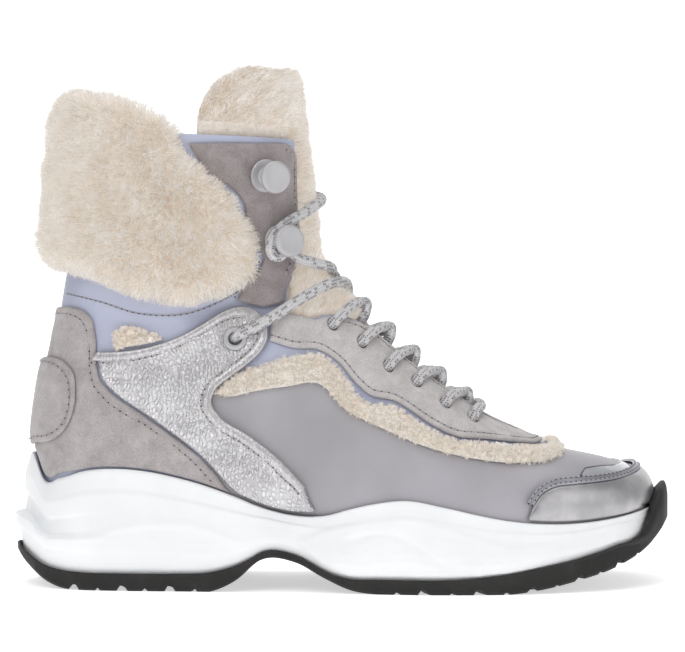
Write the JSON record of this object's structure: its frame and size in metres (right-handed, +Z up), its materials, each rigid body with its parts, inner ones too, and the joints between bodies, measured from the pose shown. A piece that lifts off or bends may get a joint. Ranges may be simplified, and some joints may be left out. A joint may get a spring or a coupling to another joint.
{
  "type": "high-top winter sneaker",
  "caption": "High-top lace-up winter sneaker for a right foot, with a fleece cuff and tongue, leather overlays and a thick sculpted sole.",
  "frame": {"origin": "on the floor, under the centre of the shoe's box", "axes": "+X towards the toe, +Z up, the outer side of the foot towards -Y"},
  "size_m": [0.2914, 0.1142, 0.2276],
  "materials": {
    "rubber": "moulded, satin",
    "foam": "moulded foam, matt",
    "lavender": "smooth leather",
    "suede": "brushed suede",
    "silver": "foiled leather",
    "fleece": "long pile fleece",
    "lining": "short pile fleece",
    "painted": "matt lacquer",
    "lace": "braided cord"
  },
  "bodies": {
    "root": {"midsole": "foam", "outsole": "rubber", "insole": "lining", "upper": "lavender", "tongue": "fleece", "heel_counter": "suede", "heel_patch": "suede", "quarter_strap_outer": "silver", "quarter_strap_inner": "silver", "strap_eyelet_outer": "painted", "strap_eyelet_inner": "painted", "shaft_stay_outer": "suede", "shaft_stay_inner": "suede", "lace_stud_upper_outer": "painted", "lace_stud_upper_inner": "painted", "lace_stud_lower_outer": "painted", "lace_stud_lower_inner": "painted", "eyestay": "suede", "fleece_trim": "fleece", "ankle_trim_outer": "fleece", "ankle_trim_inner": "fleece", "toe_cap": "silver", "fleece_cuff": "fleece", "lace_crossing_1": "lace", "lace_crossing_2": "lace", "lace_crossing_3": "lace", "lace_crossing_4": "lace", "lace_crossing_5": "lace", "lace_bar_toe": "lace", "lace_crossing_ankle": "lace", "lace_strand_shaft": "lace"}
  },
  "joints": []
}
